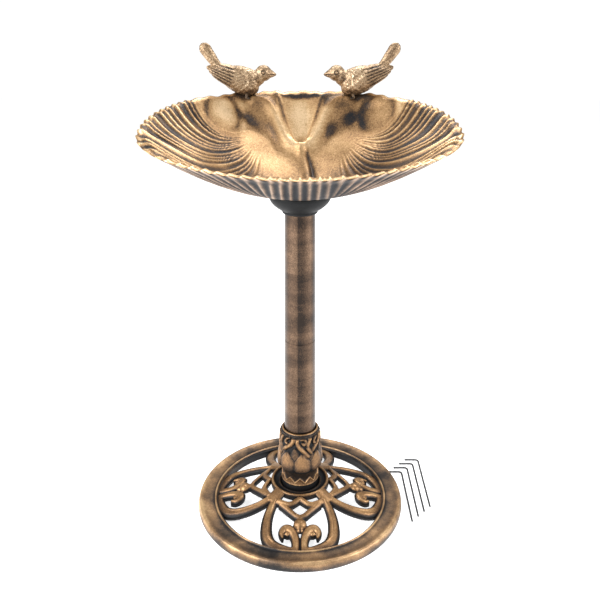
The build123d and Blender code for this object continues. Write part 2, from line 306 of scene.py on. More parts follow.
def painted_streaks_round(tree, coords, stops):
    """Grey bands round the vertical axis, painted streaks of reflection and shade: the position runs from the back
    through the right, and 0.5 is the front.
    """
    split = tree.nodes.new("ShaderNodeSeparateXYZ")
    tree.links.new(coords, split.inputs[0])
    turn = maths(tree, "ARCTAN2", split.outputs["X"], maths(tree, "MULTIPLY", split.outputs["Y"], -1.0))
    return ramp(tree, maths(tree, "ADD", maths(tree, "MULTIPLY", turn, 1 / (2 * math.pi)), 0.5), stops)


def bronze(name, stops, patch, patch_scale, grain, shift, grain_scale=900.0, relief=0.0, painted_top_light=0.0, painted_streaks=None,
           stretch=None, metallic=0.6, rough=(0.5, 0.36), gloss=0.5):
    """Dark bronze brushed with gold: brighter on crests, with smoky patches and fine grain; painted top light makes
    upward faces lighter, and painted streaks of reflection can run round the vertical axis.
    """
    material, tree, bsdf = shader(name)
    coords = tree.nodes.new("ShaderNodeTexCoord").outputs["Object"]
    specks = noise(tree, coords, grain_scale, 2.0, 0.6)
    flecks = noise(tree, coords, grain_scale * 0.35, 3.0, 0.65)
    tone = weighted(tree, 0.5 + shift, noise(tree, coords, patch_scale, 4.0, 0.6, stretch), 2 * patch)
    tone = weighted(tree, tone, specks, 2 * grain)
    tone = weighted(tree, tone, flecks, grain)
    if relief:
        attribute = tree.nodes.new("ShaderNodeAttribute")
        attribute.attribute_name = "relief"
        tone = weighted(tree, tone, attribute.outputs["Fac"], 2 * relief)
    # Painted reflection streaks round the vertical axis.
    if painted_streaks:
        tone = weighted(tree, tone, painted_streaks_round(tree, coords, [(at, (level,) * 3) for at, level in painted_streaks]), 1.0)
    # Painted light: faces that look up are made lighter.
    if painted_top_light:
        split = tree.nodes.new("ShaderNodeSeparateXYZ")
        tree.links.new(tree.nodes.new("ShaderNodeNewGeometry").outputs["Normal"], split.inputs[0])
        tone = weighted(tree, tone, split.outputs["Z"], 2 * painted_top_light)
    set_surface(tree, bsdf, tone, stops, rough, metallic, gloss)
    add_bump(tree, bsdf, maths(tree, "ADD", specks, flecks), 0.25, 0.0004)
    return material


def plain(name, dark, light, scale, rough, metallic=0.0, gloss=0.5, bump_strength=0.15):
    """A near-plain finish with a fine grain in colour, roughness and surface."""
    material, tree, bsdf = shader(name)
    grain = noise(tree, tree.nodes.new("ShaderNodeTexCoord").outputs["Object"], scale, 4.0, 0.6)
    set_surface(tree, bsdf, grain, ((0.3, dark), (0.7, light)), rough, metallic, gloss)
    add_bump(tree, bsdf, grain, bump_strength, 0.0003)
    return material


BLACK, UMBER, BROWN = (0.008, 0.008, 0.009), (0.035, 0.022, 0.014), (0.13, 0.072, 0.036)
base_stops = ((0.10, BLACK), (0.32, UMBER), (0.52, BROWN), (0.74, (0.30, 0.165, 0.07)), (0.98, (0.55, 0.36, 0.18)))
ring_stops = ((0.10, BLACK), (0.30, (0.036, 0.028, 0.023)), (0.52, (0.135, 0.086, 0.052)),
              (0.74, (0.31, 0.185, 0.092)), (0.98, (0.60, 0.40, 0.21)))
bowl_stops = ((0.05, (0.012, 0.014, 0.018)), (0.28, (0.09, 0.052, 0.026)), (0.50, (0.30, 0.172, 0.076)),
              (0.72, (0.50, 0.315, 0.15)), (1.0, (0.78, 0.57, 0.34)))
outer_stops = ((0.05, (0.014, 0.015, 0.018)), (0.30, (0.055, 0.042, 0.036)), (0.52, (0.16, 0.108, 0.076)),
               (0.75, (0.32, 0.218, 0.150)), (1.0, (0.60, 0.46, 0.35)))
bird_stops = ((0.10, (0.02, 0.015, 0.012)), (0.34, (0.105, 0.068, 0.040)), (0.54, (0.27, 0.175, 0.098)),
              (0.76, (0.48, 0.345, 0.21)), (1.0, (0.76, 0.62, 0.45)))
pole_stops = ((0.10, (0.02, 0.014, 0.011)), (0.34, (0.085, 0.052, 0.033)), (0.56, (0.20, 0.125, 0.078)),
              (0.80, (0.34, 0.22, 0.14)), (1.0, (0.50, 0.36, 0.25)))
# Painted reflection streaks round the pole, as places and their brightness; 0.5 is the front.
pole_painted_streaks = ((0.06, 0.40), (0.30, 0.34), (0.40, 0.43), (0.471, 0.42), (0.479, 0.23), (0.515, 0.26),
              (0.570, 0.40), (0.620, 0.50), (0.68, 0.30), (0.92, 0.40))

bronze_looks = {
    "bronze_base": dict(stops=base_stops, painted_top_light=0.12, patch=0.62, patch_scale=17.0, grain=0.26, shift=-0.02),
    "bronze_ring": dict(stops=ring_stops, relief=0.32, patch=1.0, patch_scale=14.0, grain=0.26, shift=0.02),
    "bronze_carved": dict(stops=base_stops, relief=0.36, patch=0.36, patch_scale=26.0, grain=0.28, shift=-0.11),
    "bronze_collar": dict(stops=base_stops, relief=0.46, patch=0.34, patch_scale=40.0, grain=0.30, shift=-0.21,
                          metallic=0.55, rough=(0.55, 0.36)),
    "bronze_pole": dict(stops=pole_stops, painted_streaks=pole_painted_streaks, stretch=(0.5, 0.5, 2.4), patch=0.62, patch_scale=8.0,
                        grain=0.24, grain_scale=700.0, shift=-0.10, metallic=0.8, rough=(0.36, 0.24)),
    "bronze_bowl": dict(stops=bowl_stops, relief=0.40, patch=0.36, patch_scale=17.0, grain=0.42,
                        grain_scale=800.0, shift=0.045),
    "bronze_bowl_outside": dict(stops=outer_stops, relief=0.54, patch=0.44, patch_scale=26.0, grain=0.26,
                                shift=-0.15, metallic=0.4, rough=(0.7, 0.5), gloss=0.22),
    "bronze_bird": dict(stops=bird_stops, relief=0.42, patch=0.34, patch_scale=60.0, grain=0.54,
                        grain_scale=1000.0, shift=0.06),
}
plain_looks = {
    "black_cap": dict(dark=(0.005, 0.0055, 0.006), light=(0.011, 0.0115, 0.012), scale=900.0,
                      rough=(0.62, 0.5), gloss=0.16),
    "inner_plastic": dict(dark=(0.02, 0.02, 0.021), light=(0.045, 0.045, 0.046), scale=500.0, rough=(0.6, 0.5)),
    "plated_steel": dict(dark=(0.42, 0.43, 0.44), light=(0.62, 0.62, 0.63), scale=600.0, rough=(0.38, 0.26),
                         metallic=1.0),
    "stake_steel": dict(dark=(0.035, 0.036, 0.038), light=(0.075, 0.076, 0.08), scale=700.0, rough=(0.5, 0.34),
                        metallic=0.6),
}
finishes = {name: bronze(name, **look) for name, look in bronze_looks.items()}
finishes.update({name: plain(name, **look) for name, look in plain_looks.items()})


def dress(piece, *names):
    """Gives a piece its finishes, in the order of its material slots."""
    piece.data.materials.clear()
    for name in names:
        piece.data.materials.append(finishes[name])


def settle(piece, body, node):
    """Puts a finished piece on its body in place of its CAD node."""
    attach(piece, body)
    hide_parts(node)


# Finish of each CAD node, by the start of its name; the first row that fits counts.
cad_finishes = {
    "bronze_base": ("base_", "leaf_collar"),
    "bronze_pole": ("lower_pole", "upper_pole"),
    "black_cap": ("pole_cap",),
    "inner_plastic": ("pole_coupler", "bowl_lock_ring"),
    "plated_steel": ("tie_rod", "foot_", "top_", "lock_ring"),
    "bronze_bowl": ("bowl",),
    "bronze_bird": ("left_bird", "right_bird"),
    "stake_steel": ("ground_stake",),
}
for name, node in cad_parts.items():
    dress(node, next(finish for finish, starts in cad_finishes.items() if name.startswith(starts)))


# ---- Scrollwork panels ----
HUB_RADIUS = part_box("base_hub")[1].x / MM
RING_INNER, PANEL_REACH = 134.5, 136.4
PANEL_FOOT, PANEL_CROWN, RISE_POWER = 12.5, 43.6, 1.1
BAR_DEPTH, BAR_SHOULDER = 9.0, 3.2
BALL_OUT, TIP_OUT = 90.4, 98.6
PANEL_VOXEL = 0.85


def openwork_height(x, y):
    """Height of the openwork's upper face, climbing from the ring to the hub."""
    share = np.clip((RING_INNER - np.hypot(x, y)) / (RING_INNER - HUB_RADIUS), 0, 1.08)
    return PANEL_FOOT + (PANEL_CROWN - PANEL_FOOT) * share**RISE_POWER


def bar(points, widths, lift=0.0, crown=1.5):
    """A bar with a pillowed top and drafted sides along a plan line of (sideways, outwards)."""
    line = curve_through(points, 9)
    share = np.linspace(0, 1, len(line))
    wide = np.interp(share, np.linspace(0, 1, len(widths)), widths) / 2
    left = [(-0.86, -BAR_DEPTH), (-1.0, -BAR_SHOULDER), (-0.97, -1.5), (-0.80, -0.3), (-0.45, crown * 0.75)]
    profile = left + [(0.0, crown)] + [(-across, height) for across, height in reversed(left)]
    verts = []
    for k, (u, v) in enumerate(line):
        along = line[min(k + 1, len(line) - 1)] - line[max(k - 1, 0)]
        along /= np.hypot(*along)
        for across, height in profile:
            x, y = u - along[1] * across * wide[k], v + along[0] * across * wide[k]
            verts.append((x, -y, openwork_height(x, y) + height + lift - crown))
    return np.array(verts), capped_faces(len(line), len(profile))


def mirrored(part):
    """The same closed part on the other side of the panel."""
    points, faces = part
    return points * np.array([-1, 1, 1]), [tuple(reversed(f)) for f in faces]


half_panel = [
    # Loop bar and the ridge on it.
    bar([(38.5, 41.0), (43.5, 53.0), (48.5, 67.6), (51.6, 83.0), (52.0, 98.5), (49.4, 110.5), (43.4, 120.0),
         (33.0, 126.4), (20.0, 130.5), (6.0, 132.0)], (14.0, 15.5, 17.5, 19.0, 19.5, 19.0, 16.0, 11.0), crown=2.6),
    bar([(37.0, 42.0), (46.5, 66.0), (49.6, 83.5), (49.8, 98.5), (46.8, 110.0), (40.0, 119.0)],
        (3.0, 5.5, 5.5, 3.0), lift=1.2, crown=1.6),
    # Scroll of the fleur-de-lis and its curled tip.
    bar([(6.6, 134.5), (6.4, 126.0), (6.6, 117.5), (8.6, 108.8), (13.0, 101.0), (19.4, 96.6), (25.0, 98.0),
         (28.0, 104.4), (26.4, 112.6)], (13.0, 13.5, 14.2, 15.2, 16.0, 15.4, 12.0, 3.4), lift=1.0, crown=3.4),
    bar([(22.0, 104.5), (18.6, 107.2), (17.4, 104.8)], (8.0, 5.6, 2.6), lift=0.4, crown=1.8),
    # V bar, crown bar and the knot at the corner.
    bar([(0.0, 79.5), (6.5, 77.0), (13.0, 71.6), (20.0, 65.0), (31.0, 54.5)], (9.6, 9.8, 10.0, 10.4), crown=2.2),
    bar([(0.0, 49.6), (4.5, 52.6), (10.0, 56.0), (15.0, 57.8), (22.0, 57.0), (36.5, 49.5)], (9.0, 9.6, 9.6, 10.0),
        lift=1.0, crown=2.4),
    bar([(31.4, 32.0), (40.0, 40.6), (47.0, 48.0)], (21.0, 22.0, 15.0), lift=1.0, crown=1.4),
]
parts = [p for half in half_panel for p in (half, mirrored(half))]
parts.append(bar([(0.0, 77.0), (0.0, 84.0), (0.0, 88.0)], (13.0, 13.0, 14.0), crown=2.2))
parts.append(ellipsoid((0.0, -BALL_OUT, openwork_height(0.0, BALL_OUT) - 4.0), (10.4, 9.4, 8.0)))
parts.append(ellipsoid((0.0, -TIP_OUT, openwork_height(0.0, TIP_OUT) - 4.4), (5.8, 6.4, 5.4)))
panel = fused("scrollwork_master", parts, PANEL_VOXEL)
panel_points = points_of(panel)
reach = np.hypot(panel_points[:, 0], panel_points[:, 1])
panel_points[:, :2] *= np.where(reach > PANEL_REACH, PANEL_REACH / reach, 1.0)[:, None]
x, y, z = panel_points.T
depth = openwork_height(x, -y) + 0.4 - z
seam = 0.75 * bump(np.abs(x), 1.1) * smooth_step(98, 104, -y)
outer_shade = 0.28 * smooth_step(124, 134, reach)
move_points(panel, panel_points)
set_relief(panel, 0.92 - 0.92 * smooth_step(0.6, 4.2, depth) - seam - outer_shade)
for k, where in enumerate(PANELS):
    copy = add_object(f"scrollwork_{where}", panel.data.copy())
    copy.data.transform(Matrix.Rotation(math.radians(90 * k), 4, "Z"))
    dress(copy, "bronze_carved")
    settle(copy, "pedestal", f"base_scrollwork_{where}")
bpy.data.objects.remove(panel)


# ---- Leaf collar ----
collar_low, collar_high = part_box("leaf_collar")
COLLAR_FOOT, COLLAR_TOP = collar_low.z / MM, collar_high.z / MM
PETALS, PETAL_TURN = 8, math.radians(7.0)
BAND_RADIUS, BAND_SHIFT = 33.0, 9.0     # the scroll band is laid out flat at this radius
TEETH, FOOT_RADIUS = 11, 30.0
BORE, BORE_FLOOR, ROD_HOLE = 24.95, 95.0, 6.0


def collar_base(height):
    """Radius of the collar's ground, under its leaves."""
    heights = (38.5, 44.0, 50.0, 55.0, 60.0, 66.0, 72.0, 78.0, 84.0, 91.0, 100.0, 112.0, 136.0, 138.2, 139.6, 141.0)
    radii = (29.3, 29.3, 28.2, 27.4, 27.4, 28.2, 30.6, 32.6, 33.0, 32.2, 31.0, 30.0, 29.6, 28.6, 30.4, 30.2)
    return np.interp(height, heights, radii)


def wrapped(angle, period):
    """An angle folded into plus or minus half a period."""
    return (angle + period / 2) % period - period / 2


def petal(angle, height, low, high, widest, half_angle, bulge, notch=0.0):
    """Outward rise of a row of petals over the collar's ground, and how near it is to their middle line."""
    up = (height - low) / (high - low)
    inside = (up > -0.02) & (up < 1.06)
    up = np.clip(up, 0, 1)
    foot = np.sqrt(np.clip(1 - (np.clip(0.22 - up, 0, 1) / 0.22) ** 2 * 0.6, 0, 1))
    spread = foot * np.clip((1 - up) / (1 - widest), 0, 1) ** 0.65
    edge = np.abs(angle) / (half_angle * np.clip(spread, 0.02, 1))
    dome = np.clip(1 - edge**3.2, 0, 1) * smooth_step(-0.02, 0.10, up)
    cut = notch * bump(angle / half_angle, 0.09) * smooth_step(0.66, 1.0, up)
    return np.where(inside, bulge * (dome**0.42) * (1 - cut), 0.0), np.where(inside, 1 - edge, -1)


AROUND, ALONG = 480, 188
angles = np.linspace(0, 2 * math.pi, AROUND, endpoint=False)
levels = np.linspace(COLLAR_FOOT, COLLAR_TOP - 0.5, ALONG)
A, Z = np.meshgrid(angles, levels, indexing="ij")
ground = collar_base(Z)
sector = 2 * math.pi / PETALS
front_angle = wrapped(A - PETAL_TURN, sector)
gap_angle = wrapped(A - PETAL_TURN - sector / 2, sector)
main_rise, main_in = petal(front_angle, Z, 77.5, 111.5, 0.58, sector * 0.55, 3.9, 0.42)
back_rise, _ = petal(gap_angle, Z, 86.0, 120.0, 0.62, sector * 0.34, 2.7)
ball_rise = 3.2 * np.sqrt(np.clip(1 - ((gap_angle * 34 + 1.0) ** 2 + (Z - 106.5) ** 2) / 10.0, 0, 1))
leaf = np.maximum(np.maximum(main_rise, back_rise), ball_rise)
across = wrapped(A - PETAL_TURN + BAND_SHIFT / BAND_RADIUS, 2 * sector) * BAND_RADIUS - BAND_SHIFT
for line, width, height in (
        ([(-7.2, 138.5), (-9.4, 132.0), (-6.4, 125.0), (-0.8, 118.0), (5.0, 112.0), (9.6, 106.0)], 4.2, 3.7),
        ([(-2.5, 137.5), (4.0, 136.0), (7.0, 131.0), (3.5, 127.5), (0.5, 130.0)], 2.9, 3.1),
        ([(-15.0, 137.0), (-17.0, 130.5), (-21.5, 125.0), (-27.5, 120.5), (-33.0, 115.0)], 4.2, 3.6),
        ([(14.5, 138.0), (11.0, 130.0), (8.6, 123.5), (11.0, 117.0), (15.5, 111.0)], 3.7, 3.4),
        ([(-23.5, 138.0), (-28.5, 134.0), (-31.0, 128.5), (-27.5, 126.5)], 2.6, 2.9)):
    gap = distance_to_line(across, Z, curve_through(line, 6))
    leaf = np.maximum(leaf, height * np.clip(1 - (gap / width) ** 2, 0, 1) ** 0.6 * smooth_step(139.0, 136.5, Z))
    leaf -= 1.2 * bump(gap - width - 0.3, 0.8)
for place, level, size in ((1.0, 133.4, 1.9), (6.4, 122.6, 2.0), (-23.8, 133.4, 2.2), (-13.0, 127.0, 1.8)):
    leaf -= 2.6 * spot(across - place, Z - level, size)
foot_angle = wrapped(A, 2 * math.pi / TEETH)
tooth_line = 63.5 - np.abs(foot_angle) * FOOT_RADIUS * 1.05
tooth = smooth_step(-1.0, 0.6, tooth_line - Z) * smooth_step(48.5, 50.5, Z)
tooth_edge = bump(tooth_line - Z - 0.8, 1.1) * smooth_step(48.5, 50.5, Z) + 0.8 * bump(Z - 50.4, 1.0) * tooth
midrib = bump(foot_angle * FOOT_RADIUS, 0.8) * tooth
leaf += (1.6 * tooth + 0.6 * tooth_edge + 0.5 * midrib) * smooth_step(68.0, 65.0, Z)
radius = np.minimum(ground + leaf, collar_high.x / MM)
relief_map = np.clip(0.06 + leaf / 4.6 + 0.16 * smooth_step(112, 120, Z), 0, 1)
relief_map = relief_map - (0.45 * bump(main_in, 0.10) + 0.30 * smooth_step(94, 80, Z)) * (main_rise > 0)
relief_map = np.where(Z > 138.0, 0.10 + 0.35 * smooth_step(138.6, 140.0, Z), relief_map)
relief_map = np.where(Z < 74.0, 0.46 - 0.34 * smooth_step(52, 46, Z) + 0.4 * tooth_edge + 0.26 * tooth, relief_map)
shell = np.stack([radius * np.sin(A), -radius * np.cos(A), Z], 2)


def hoop(reach, height):
    """One ring of the collar's grid."""
    return np.stack([reach * np.sin(angles), -reach * np.cos(angles), np.full(AROUND, height)], 1)[:, None]


# Radius, height and relief of the bead round the pole, and of the bore that closes the collar out of sight.
rim_rings = ((29.6, 141.3, 0.2), (29.1, 140.9, 0.0), (28.8, 142.2, 0.4), (28.2, 143.6, 0.95), (27.2, 144.3, 1.0),
             (26.2, 143.9, 0.8), (25.4, 142.6, 0.2), (BORE, 141.0, 0.0), (BORE, BORE_FLOOR, 0.0),
             (ROD_HOLE, BORE_FLOOR, 0.0))
grid = np.concatenate([hoop(ROD_HOLE, COLLAR_FOOT), shell] + [hoop(r, h) for r, h, _ in rim_rings], 1)
relief_grid = np.concatenate([np.zeros((AROUND, 1)), relief_map,
                              np.tile([value for _, _, value in rim_rings], (AROUND, 1))], 1)
collar = make_object("carved_leaf_collar", grid.reshape(-1, 3), ring_faces(AROUND, grid.shape[1], True),
                     relief_grid.ravel())
dress(collar, "bronze_collar")
settle(collar, "pedestal", "leaf_collar")


# ---- Ring and hub ----
def lathe(name, profile, around):
    """A turned piece from a closed round of (radius, height, relief) stations."""
    turn = np.linspace(0, 2 * math.pi, around, endpoint=False)[:, None]
    r, h, value = (np.array(column)[None, :] for column in zip(*profile))
    points = np.stack([r * np.sin(turn), -r * np.cos(turn), h + 0 * turn], 2)
    values = (value + 0 * turn).ravel()
    return make_object(name, points.reshape(-1, 3), ring_faces(around, len(profile), True), values)


def eased(stations):
    """Four times as many stations, along a smooth line through the given ones."""
    return [tuple(row) for row in curve_through(stations, 4)]


ring_piece = lathe("dished_ground_ring", eased([
    (134.6, 0.2, 0.0), (134.6, 6.0, 0.0), (134.7, 11.6, 0.05), (135.6, 12.7, 0.1), (136.6, 12.9, 0.05),
    (137.2, 14.4, 0.35), (138.2, 16.0, 0.95), (139.3, 16.4, 1.0), (140.3, 15.9, 0.75), (141.2, 14.7, 0.05),
    (142.6, 14.3, 0.16), (145.5, 14.35, 0.42), (150.0, 14.3, 0.50), (155.0, 14.7, 0.52), (159.0, 15.7, 0.66),
    (162.3, 16.3, 0.86), (164.8, 15.2, 0.92), (166.4, 12.6, 0.74), (167.3, 9.2, 0.50), (167.4, 6.4, 0.30),
    (166.9, 3.0, 0.16), (165.6, 0.2, 0.05)]) + [
    (161.0, 0.2, 0.0), (160.2, 9.0, 0.0), (156.0, 10.9, 0.0), (141.0, 10.9, 0.0), (138.0, 8.0, 0.0),
    (137.9, 0.2, 0.0)], 360)
ring_piece.data.flip_normals()      # its stations run the other way round
dress(ring_piece, "bronze_ring")
settle(ring_piece, "pedestal", "base_ring")

hub_piece = lathe("dished_hub", eased([
    (47.2, 34.8, 0.0), (47.2, 38.5, 0.05), (47.2, 42.0, 0.35), (46.4, 44.3, 0.85), (44.7, 45.1, 1.0),
    (43.0, 44.3, 0.8), (41.8, 42.6, 0.15), (39.6, 41.0, 0.0), (36.2, 40.0, 0.0), (34.6, 40.2, 0.25),
    (33.4, 40.9, 0.5), (32.4, 40.3, 0.2), (31.6, 38.6, 0.0)]) + [
    (4.3, 38.5, 0.0), (4.3, 29.1, 0.0), (41.2, 29.1, 0.0), (47.2, 34.6, 0.0)], 288)
dress(hub_piece, "bronze_carved")
settle(hub_piece, "pedestal", "base_hub")


# ---- Bowl ----
bowl_low, bowl_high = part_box("bowl")
HALF_WIDTH, HALF_DEPTH = bowl_high.x / MM, bowl_high.y / MM
SEAT, SEAT_RADIUS, UNDER_RADIUS = bowl_low.z / MM, 44.0, 6.0
RIM_HEIGHT, TILT = 608.0, math.tan(math.radians(12.0))
INNER_POWER, OUTER_POWER = 1.22, 1.42
WALL_INSET, FLOOR_LIFT, LEAST_WALL = 2.6, 3.4, 3.6
GATHER_X, GATHER_Y = 52.0, 114.0        # the ridges of a side lobe gather here
LOBE_END = (11.6, 13.4)                 # a side lobe fades out between these ridges
RIGHT_LEAD = 0.35                       # the right lobe's ridges are this far ahead of the left one's
FLAT_HALF, FLUTE_PITCH, FLUTE_TURN = 38.0, 11.8, 7.2    # straight flutes in millimetres, fanned ones in degrees


def outline(angle):
    """Reach of the bowl's outline: a superellipse, fuller at the back."""
    power = 2.2 + 0.3 * np.sin(angle)
    c, s = np.cos(angle), np.sin(angle)
    reach = (np.abs(c) ** power + np.abs(s) ** power) ** (-1 / power)
    return reach * c, reach * s


def section(angle, share, inset, lift, power):
    """Points of a bowl section at a share of the way from seat to rim."""
    across, along = outline(angle)
    x = (SEAT_RADIUS + share * (HALF_WIDTH - SEAT_RADIUS) - inset) * across
    y = (SEAT_RADIUS + share * (HALF_DEPTH - SEAT_RADIUS) - inset) * along
    return x, y, SEAT + (RIM_HEIGHT - SEAT) * np.abs(share) ** power + lift + share * TILT * y


def outer_power(angle):
    """Power of the outer section, which is fuller at the two ends."""
    return OUTER_POWER + 0.20 * np.cos(angle) ** 2


def ridge_number(x, y):
    """Ridge of a side lobe that a plan point is on, counted forwards from the back, and its distance
    from where the ridges gather. The ridges bend, so the turn is found by halving."""
    dx, dy = np.abs(x) - GATHER_X, y - GATHER_Y
    reach = np.hypot(dx, dy) + 1e-6
    seen = np.degrees(np.arctan2(-dy, dx))
    low, high = np.full(np.shape(x), -80.0), np.full(np.shape(x), 200.0)
    for _ in range(24):
        mid = (low + high) / 2
        found = mid - 0.0048 * np.maximum(0, reach - 115.0 - 2.8 * (mid - 51.5)) ** 2
        low, high = np.where(found < seen, mid, low), np.where(found < seen, high, mid)
    turn = (low + high) / 2
    return -0.00137 * turn**2 + 0.394 * turn - 9.36, reach


def flutes(x, y):
    """Phase of the outside's flutes: parallel across the front, fanned round the sides, parallel at the back."""
    side = np.abs(x)
    seen = np.degrees(np.arctan2(side - FLAT_HALF, -(y + 20.0)))
    fan = np.clip(seen, 0, 180) * (side > FLAT_HALF)
    phase = np.minimum(side, FLAT_HALF) / FLUTE_PITCH + fan / FLUTE_TURN
    behind = (side <= FLAT_HALF) & (y > 0)
    return np.where(behind, (2 * FLAT_HALF - side) / FLUTE_PITCH + 180 / FLUTE_TURN, phase)


def crest(phase, sharp):
    """Ridges at whole phases: 1 on the crest and 0 in the groove."""
    return 1 - np.abs(np.sin(math.pi * phase)) ** sharp


# Plan lines of the forms at the bowl's back; all but the keel are for the right half and are mirrored.
fold = curve_through([(70, 143), (54, 140), (40, 131), (28, 114), (15, 99), (0, 94)], 6)
inner_fold = curve_through([(36, 152), (28, 136), (20, 118), (9, 103)], 6)
crease = curve_through([(146, 124), (122, 130), (96, 128), (70, 121), (48, 114), (34, 103), (22, 92)], 6)
keel = curve_through([(0, 92), (5, 80), (9, 64), (12, 44)], 6)
keel_groove = curve_through([(11, 88), (15, 76), (18, 62), (20, 44)], 6)


def inner_relief(x, y, share):
    """Height added to the bowl's inside, and how bright it is at plan points, painted shadow and shade included."""
    side = np.abs(x)
    near_rim = smooth_step(0.42, 0.95, share)
    lip = smooth_step(0.90, 1.0, share)

    # Ridges of the side lobes, uneven in pitch and depth, and fine veins near where they gather.
    number, reach = ridge_number(x, y)
    wander = 0.22 * np.sin(0.031 * x + 0.9) + 0.16 * np.sin(0.047 * y + 0.06 * x)
    number = number + np.where(x > 0, RIGHT_LEAD + wander, wander)
    weight = 0.78 + 0.22 * np.sin(2.4 * number + 1.1)
    number = number + 0.24 * np.sin(1.7 * number)
    wave = crest(number, 0.95)
    lobe = smooth_step(30, 66, reach) * smooth_step(-1.8, 0.2, number) * (1 - smooth_step(*LOBE_END, number))
    depth = (2.2 + 3.8 * near_rim) * lobe * weight * (1 - 0.6 * smooth_step(0.93, 1.0, share))
    grooves = lobe * weight * (1 - wave) ** 1.6
    veins = smooth_step(34, 58, reach) * (1 - smooth_step(80, 130, reach)) * smooth_step(3, 7, number)
    veins = veins * (1 - smooth_step(13.0, 15.5, number))

    # Folds, shelves, whorls and keel at the back.
    to_fold, to_inner_fold = distance_to_line(side, y, fold), distance_to_line(side, y, inner_fold)
    to_keel, to_keel_groove = distance_to_line(x, y, keel), distance_to_line(x, y, keel_groove)
    to_crease = distance_to_line(side, y, crease)
    to_whorl = np.hypot(side - 116, (y - 120) * 1.15)
    behind = y - np.interp(side, crease[::-1, 0], crease[::-1, 1])
    shelf = np.tanh(behind / 5.0) * bump(behind, 19.0) * smooth_step(26, 44, side) * (1 - smooth_step(112, 140, side))
    carved = 7.5 * bump(to_fold, 8.0) + 3.0 * bump(to_inner_fold, 3.6) + 4.6 * shelf
    carved = carved - 6.5 * spot(side - 104, (y - 110) * 1.3, 26.0) - 5.5 * bump(side, 20.0) * smooth_step(98, 112, y)
    carved = carved - 5.0 * spot(x, (y - 104) * 1.1, 10.0)
    carved = carved + 3.2 * bump(to_keel, 6.5) - 3.4 * bump(to_keel_groove, 3.4)
    carved = carved + (4.5 * bump(to_whorl, 15.0) - 3.0 * bump(to_whorl - 25.0, 6.0)) * smooth_step(96, 110, y)
    swell = 3.0 * np.sin(0.052 * side + 0.4) * np.sin(0.045 * y + 1.0) * smooth_step(0.1, 0.5, share)
    front_ribs = smooth_step(0.74, 1.0, share) * smooth_step(24, -24, y) * (1 - lobe) * (crest(flutes(x, y), 1.0) - 0.5)
    height = depth * (wave - 0.30) + 1.7 * veins * (wave - 0.5) + (carved + swell) * (1 - lip) + 2.4 * front_ribs

    # Gold on crests and folds, black in grooves, patches of patina, and painted shadow and shade: under the back rim,
    # along the crease, by the folds and in the right hollow, with the left hollow painted lighter.
    bright = 0.56 + 0.42 * lobe * (wave - 0.3) - 1.0 * grooves * (0.35 + 0.65 * near_rim) + 0.12 * veins * (wave - 0.5)
    bright = bright + 0.10 * np.sin(0.05 * x + 1.0) * np.sin(0.06 * y + 0.4)
    bright = bright + 0.32 * bump(to_fold, 6.0) - 0.50 * bump(to_inner_fold, 2.6) * smooth_step(112, 128, y)
    whorl_rings = 0.26 * bump(to_whorl, 13.0) - 0.42 * bump(to_whorl - 24.0, 4.0) + 0.2 * bump(to_whorl - 33.0, 4.0)
    bright = bright + whorl_rings * smooth_step(100, 112, y) * smooth_step(70, 84, side) * (1 - lobe)
    # Painted shade along the crease, where the back steps down to the front, broken into lengths.
    broken = 0.62 + 0.38 * np.sin(0.16 * x + 0.11 * y + 0.8)
    crease_ends = smooth_step(24, 44, side) * (1 - smooth_step(84, 118, side))
    bright = bright - 0.72 * broken * bump(to_crease, 5.0) * crease_ends
    bright = bright - 0.30 * spot(x, y - 103, 9.0) - 0.55 * bump(to_keel_groove, 3.2)
    # Painted shadow under the back rim: a dark band across the middle and a dark patch at each side.
    bright = bright - 0.62 * bump(y - 152.0, 3.0) * (1 - smooth_step(26, 36, side))
    bright = bright - 0.95 * spot((side - 96) * 0.42, y - 148.0, 8.0)
    # Painted shade by each fold, near the back rim.
    bright = bright - 0.40 * smooth_step(130, 139, y) * smooth_step(33, 38, side) * (1 - smooth_step(64, 80, side))
    # Painted shade in the right hollow and painted light in the left one.
    bright = bright - 0.36 * spot(x - 112, (y - 121) * 1.3, 27.0) + 0.16 * spot(x + 112, (y - 122) * 1.2, 20.0)
    bright = bright + 0.34 * bump(side, 18.0) * smooth_step(102, 116, y) * smooth_step(151, 147, y)
    bright = bright - 0.22 * smooth_step(84, 40, y) * smooth_step(0.95, 0.4, share)
    return height, bright


def rim_wave(angle):
    """Waviness of the rim: 1 on a crest and 0 in a notch, and how far it belongs to a side lobe and to the back."""
    x, y, _ = section(angle, 1.0, 0, 0, 1.0)
    number, _ = ridge_number(x, y)
    lobe = smooth_step(-1.4, 0.2, number) * (1 - smooth_step(*LOBE_END, number))
    number = number + np.where(x > 0, RIGHT_LEAD, 0.0)
    back = smooth_step(0.55, 0.8, np.sin(angle)) * (1 - lobe)
    ripple = 0.5 + 0.25 * np.sin(0.12 * x + 0.6) + 0.25 * np.sin(0.31 * x)
    wave = lobe * crest(number, 2.2) + (1 - lobe) * crest(flutes(x, y), 1.6)
    return wave * (1 - back) + ripple * back, lobe, back


# The bowl's grid runs from the middle of the underside out to the rim, over it, and in to the middle of the floor.
TURN = 600
theta = np.linspace(0, 2 * math.pi, TURN, endpoint=False)
wave, lobed, back = rim_wave(theta)
notch = (2.2 - 0.3 * lobed + 1.5 * back)[:, None] * (1 - wave[:, None])

# Outside.
out_shares = np.linspace(0.0, 1.0, 30)
T, S = np.meshgrid(theta, out_shares, indexing="ij")
ox, oy, oz = section(T, S, 0, 0, outer_power(T))
edge = smooth_step(0.80, 1.0, S)
outer_wave = crest(flutes(ox, oy), 1.2) * (1 - edge) + wave[:, None] * edge
inward = smooth_step(0.0, 0.25, S) * (2.0 + 2.4 * smooth_step(0.2, 0.6, S) * (1 - edge)) * (1 - outer_wave)
inward = inward * (1 - edge) + notch * edge
ox, oy = ox * (1 - inward / np.hypot(ox, oy)), oy * (1 - inward / np.hypot(ox, oy))
oz = oz - 0.9 * edge * notch

